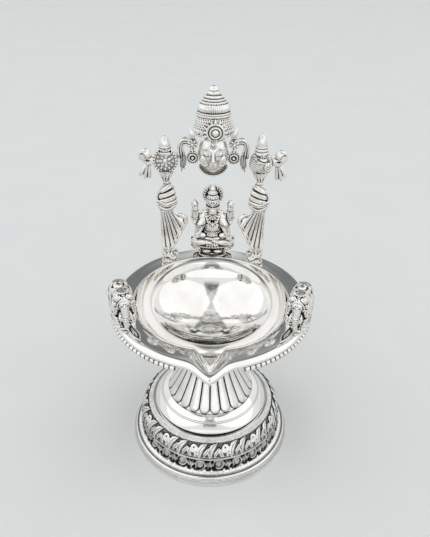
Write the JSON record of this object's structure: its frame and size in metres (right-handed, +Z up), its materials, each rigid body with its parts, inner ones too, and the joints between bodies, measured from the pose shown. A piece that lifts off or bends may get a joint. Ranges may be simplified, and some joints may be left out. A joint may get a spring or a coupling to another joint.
{
  "type": "pedestal oil lamp",
  "caption": "Silver-plated brass pedestal oil lamp with a spouted bowl, elephants on the brim, a seated goddess and a crowned head between a disc and a conch.",
  "frame": {"origin": "centre of the flat underside of the foot, on the table", "axes": "+Z up; -Y towards the spout and the viewer; +X to the viewer's right, the conch's side"},
  "size_m": [0.09, 0.0966, 0.1647],
  "materials": {
    "polished_silver": "silver-plated brass, polished to a mirror",
    "oxidised_silver": "silver-plated cast brass, raised work polished, recesses oxidised dark",
    "plain_metal": "plain turned brass, silver-plated and left dull"
  },
  "bodies": {
    "root": {"base_plate": "plain_metal", "foot_lip": "polished_silver", "scroll_band": "oxidised_silver", "leaf_band": "oxidised_silver", "dome": "polished_silver", "fluted_stem": "polished_silver", "neck_collar": "polished_silver", "neck_washer": "plain_metal", "neck_nut": "plain_metal", "bowl": "polished_silver", "gadroon_border": "polished_silver", "elephant_left": "oxidised_silver", "elephant_right": "oxidised_silver", "lotus_seat": "oxidised_silver", "goddess": "oxidised_silver", "scroll_foot_left": "oxidised_silver", "scroll_foot_right": "oxidised_silver", "drape_left": "oxidised_silver", "drape_right": "oxidised_silver", "knot_left": "oxidised_silver", "knot_right": "oxidised_silver", "chakra": "oxidised_silver", "shankha": "oxidised_silver", "cloth_bow_left": "oxidised_silver", "cloth_bow_right": "oxidised_silver", "ribbon_arch_left": "oxidised_silver", "ribbon_arch_right": "oxidised_silver", "ear_ornament_left": "oxidised_silver", "ear_ornament_right": "oxidised_silver", "head": "oxidised_silver", "necklace": "oxidised_silver", "crown": "oxidised_silver", "nut_elephant_left": "plain_metal", "nut_elephant_right": "plain_metal", "nut_lotus": "plain_metal", "nut_foot_left": "plain_metal", "nut_foot_right": "plain_metal"}
  },
  "joints": []
}
